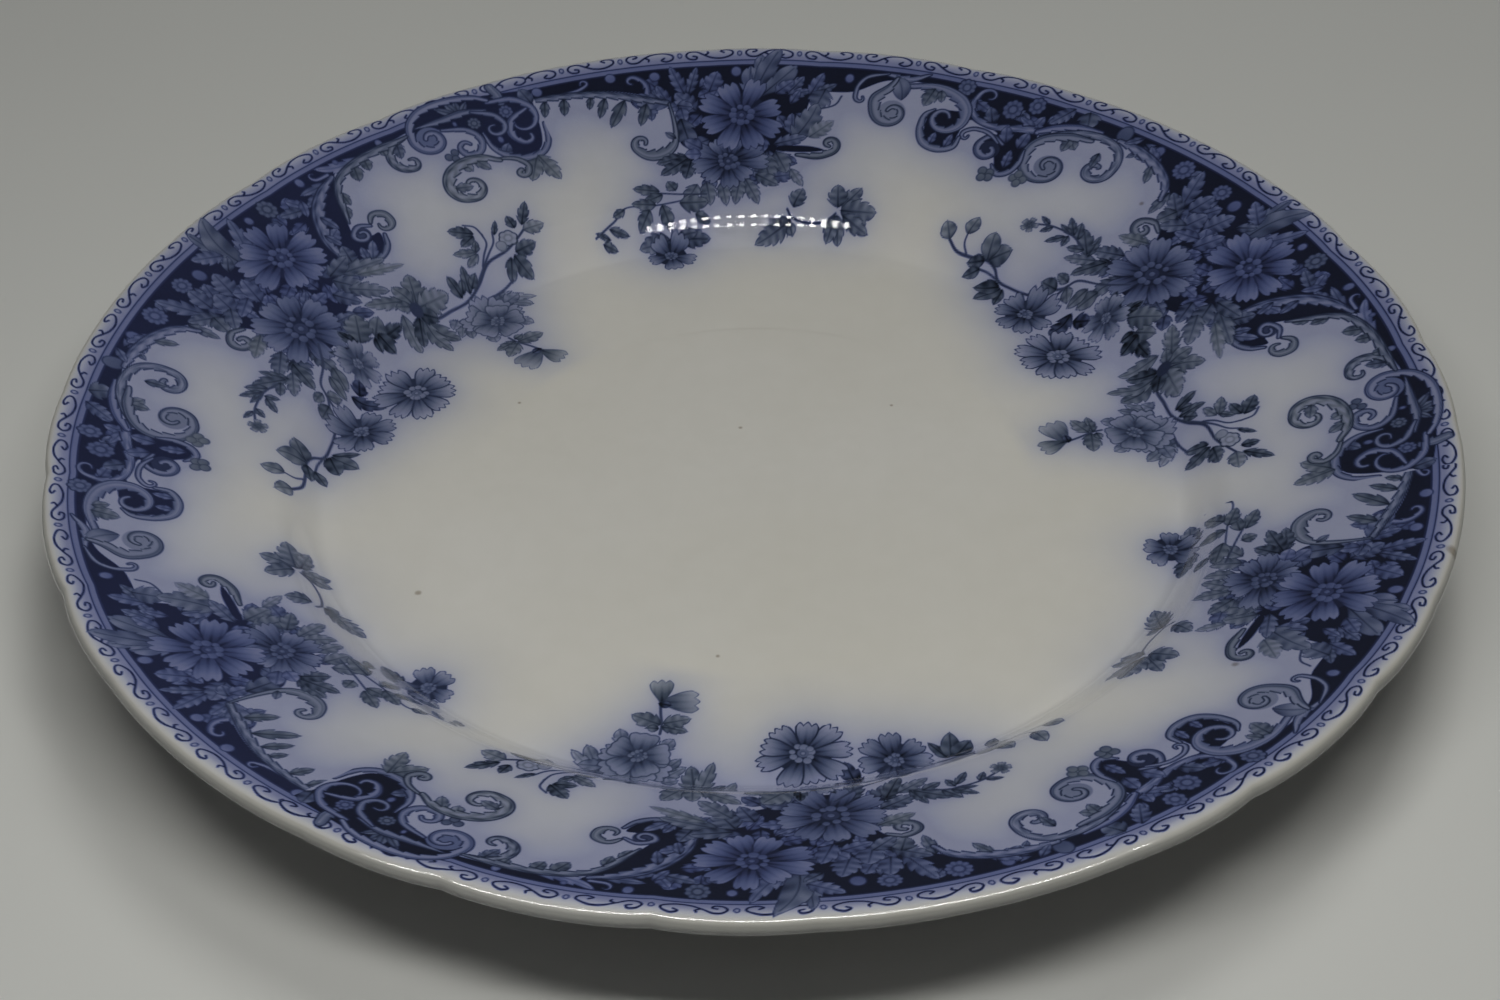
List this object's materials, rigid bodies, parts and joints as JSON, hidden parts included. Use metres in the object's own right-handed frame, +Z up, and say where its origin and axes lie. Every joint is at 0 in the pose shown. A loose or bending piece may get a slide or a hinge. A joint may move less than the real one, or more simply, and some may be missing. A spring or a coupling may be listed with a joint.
{
  "type": "dinner plate",
  "caption": "Round earthenware dinner plate with scalloped lip, flat well, foot ring and blue floral underglaze print.",
  "frame": {"origin": "on the plate's axis, in the plane of the foot ring's resting edge", "axes": "+Z up through the well, towards the food; +X and +Y across the rim, with a scallop's middle at 45 degrees from +X"},
  "size_m": [0.2538, 0.2538, 0.0258],
  "materials": {
    "earthenware": "matt",
    "cobalt_print": "glossy",
    "clear_glaze": "glossy"
  },
  "bodies": {
    "root": {"earthenware_body": "earthenware", "transfer_print_1": "cobalt_print", "transfer_print_2": "cobalt_print", "transfer_print_3": "cobalt_print", "glaze_coat": "clear_glaze", "glaze_foot_recess": "clear_glaze"}
  },
  "joints": []
}
